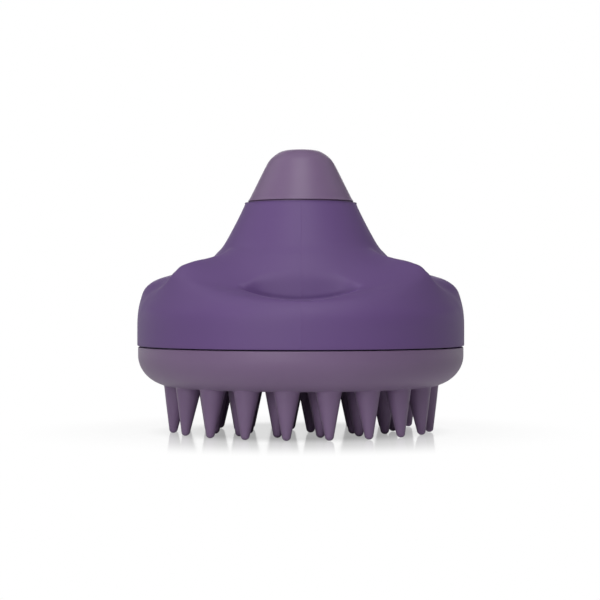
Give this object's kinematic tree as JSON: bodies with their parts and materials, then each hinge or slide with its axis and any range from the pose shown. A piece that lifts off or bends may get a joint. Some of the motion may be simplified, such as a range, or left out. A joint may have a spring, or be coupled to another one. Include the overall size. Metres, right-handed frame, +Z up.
{
  "type": "scalp massager brush",
  "caption": "Palm-held scalp massager: round head with tapered soft bristles under a scooped casing that narrows to a soft push button.",
  "frame": {"origin": "on the plane of the bristle tips, below the centre of the head, the centre of the bounding box's bottom face", "axes": "+Z up, from the bristle tips to the button, along the axis of the round head; -Y is the front, with one of the two finger scoops; X runs through the side saddles and along the battery cells and the motor shaft"},
  "size_m": [0.0862, 0.0862, 0.0743],
  "materials": {
    "purple_soft_touch": "matte soft-touch moulding",
    "mauve_silicone": "satin silicone, slightly translucent",
    "dark_plastic": "matte",
    "grey_plastic": "matte",
    "black_rubber": "matte",
    "steel": "drawn or turned",
    "nickel": "bright nickel plate",
    "brass": "turned",
    "ferrite": "sintered, matte",
    "board_green": "solder mask",
    "battery_wrap": "satin shrink wrap",
    "wire_red": "satin",
    "wire_black": "satin",
    "wire_blue": "satin"
  },
  "bodies": {
    "head": {"bristle_pad": "mauve_silicone", "base_plate": "dark_plastic"},
    "seal": {"seal_ring": "black_rubber"},
    "casing": {"body_shell": "purple_soft_touch", "inner_chassis": "grey_plastic", "chassis_screw_1": "steel", "chassis_screw_2": "steel", "chassis_screw_3": "steel", "chassis_screw_4": "steel", "battery_1": "battery_wrap", "battery_2": "battery_wrap", "contact_bridge": "nickel", "contact_positive": "nickel", "contact_negative": "nickel", "contact_spring_1": "nickel", "contact_spring_2": "nickel", "motor_can": "steel", "motor_end_cap": "dark_plastic", "motor_magnet_1": "ferrite", "motor_magnet_2": "ferrite", "motor_terminal_1": "brass", "motor_terminal_2": "brass", "motor_clamp": "dark_plastic", "clamp_screw_1": "steel", "clamp_screw_2": "steel", "switch_board": "board_green", "push_switch": "dark_plastic", "board_screw_1": "steel", "board_screw_2": "steel", "wire_red": "wire_red", "wire_black": "wire_black", "wire_motor": "wire_blue", "return_spring": "steel"},
    "button": {"button_cap": "mauve_silicone", "button_core": "grey_plastic"},
    "plunger": {"switch_plunger": "grey_plastic"},
    "rotor": {"motor_shaft": "steel", "motor_armature": "steel", "eccentric_weight": "brass"}
  },
  "joints": [
    {"name": "casing_lift", "type": "slide", "parent": "head", "child": "seal", "axis": [0, 0, 1], "range_m": [0, 0.006]},
    {"name": "casing_twist", "type": "hinge", "parent": "seal", "child": "casing", "pos_m": [0, 0, 0], "axis": [0, 0, 1], "range_deg": [0, 120]},
    {"name": "button_press", "type": "slide", "parent": "casing", "child": "button", "axis": [0, 0, -1], "range_m": [0, 0.0012], "deforming": ["return_spring"]},
    {"name": "plunger_press", "type": "slide", "parent": "casing", "child": "plunger", "axis": [0, 0, -1], "range_m": [0, 0.0012]},
    {"name": "rotor_spin", "type": "hinge", "parent": "casing", "child": "rotor", "pos_m": [0, 0, 0.04], "axis": [1, 0, 0], "continuous": true}
  ],
  "couplings": [
    {"joint": "casing_lift", "follows": "casing_twist", "m_per_rad": 0.0028648},
    {"joint": "plunger_press", "follows": "button_press", "ratio": 1}
  ]
}
